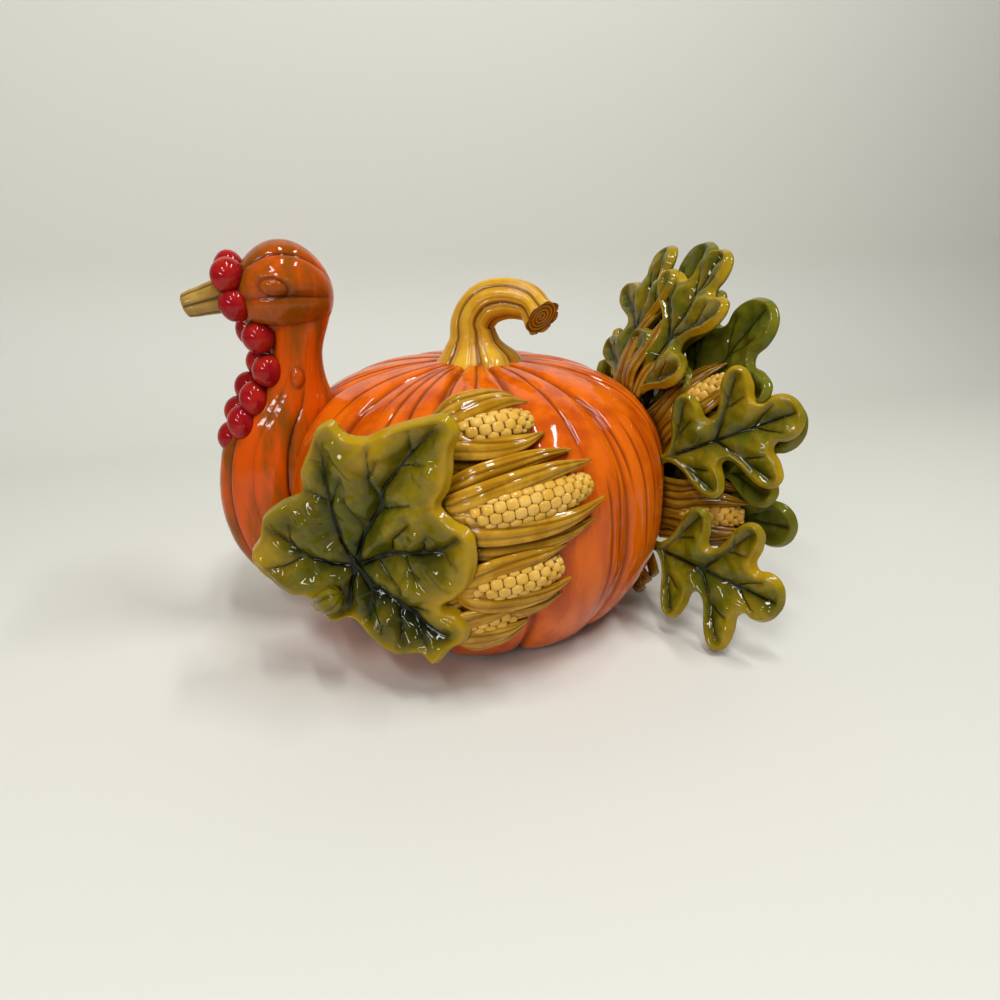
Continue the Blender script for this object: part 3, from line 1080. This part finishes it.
sweep_line = [(-FLOOR_SPAN, 0.0)]
for turn in np.linspace(0, math.pi / 2, 24):
    sweep_line.append((WALL_DISTANCE - COVE_RADIUS + COVE_RADIUS * math.sin(turn),
                       COVE_RADIUS * (1 - math.cos(turn))))
sweep_line.append((WALL_DISTANCE, FLOOR_SPAN))
floor_points = [(x, y, z) for y, z in sweep_line for x in (-FLOOR_SPAN, FLOOR_SPAN)]
floor_faces = [(2 * row, 2 * row + 1, 2 * row + 3, 2 * row + 2) for row in range(len(sweep_line) - 1)]
floor_mesh = bpy.data.meshes.new("studio_floor")
floor_mesh.from_pydata(floor_points, [], floor_faces)
floor_mesh.shade_smooth()
floor = add_object("studio_floor", floor_mesh)
paper, _, paper_shader = new_material("pale_studio_paper")
paper_shader.inputs["Base Color"].default_value = linear("#D6D5CC")
paper_shader.inputs["Roughness"].default_value = 0.6
floor_mesh.materials.append(paper)

for name, place, size, power in (
        ("low_left_strip", (-0.82, -0.88, 0.5), (0.07, 0.45), 3.0),
        ("left_strip", (-0.5, -0.8, 1.0), (0.08, 0.5), 4.5),
        ("middle_strip", (-0.05, -0.35, 1.4), (0.08, 0.6), 7.0),
        ("right_strip", (0.6, -0.35, 1.3), (0.08, 0.6), 8.5)):
    lamp = bpy.data.lights.new(name, "AREA")
    lamp.shape = "RECTANGLE"
    lamp.size, lamp.size_y = size
    lamp.energy = power
    holder = add_object(name, lamp)
    away = unit(np.array(place) - LAMP_TARGET)
    sideways = unit(np.cross([0, 1.0, 0], away))
    upward = np.cross(away, sideways)
    turn = Matrix(np.column_stack([sideways, upward, away]).tolist()).to_4x4()
    holder.matrix_world = Matrix.Translation(place) @ turn

world = bpy.data.worlds.new("studio_air")
world.use_nodes = True
air = world.node_tree.nodes["Background"]
air.inputs["Color"].default_value = linear("#E4E6E6")
air.inputs["Strength"].default_value = 0.2
bpy.context.scene.world = world

forward = np.array([-math.sin(CAMERA_YAW) * math.cos(CAMERA_PITCH),
                    math.cos(CAMERA_YAW) * math.cos(CAMERA_PITCH), -math.sin(CAMERA_PITCH)])
rightward = np.array([math.cos(CAMERA_YAW), math.sin(CAMERA_YAW), 0])
lens = bpy.data.cameras.new("camera")
lens.sensor_width = SENSOR_WIDTH
lens.lens = SENSOR_WIDTH * FOCAL_PIXELS / IMAGE_PIXELS
lens.clip_start = 0.01
camera = add_object("camera", lens)
view = Matrix(np.column_stack([rightward, np.cross(rightward, forward), -forward]).tolist()).to_4x4()
camera.matrix_world = Matrix.Translation(CAMERA_PLACE) @ view
bpy.context.scene.camera = camera
bpy.context.scene.view_settings.view_transform = "Standard"
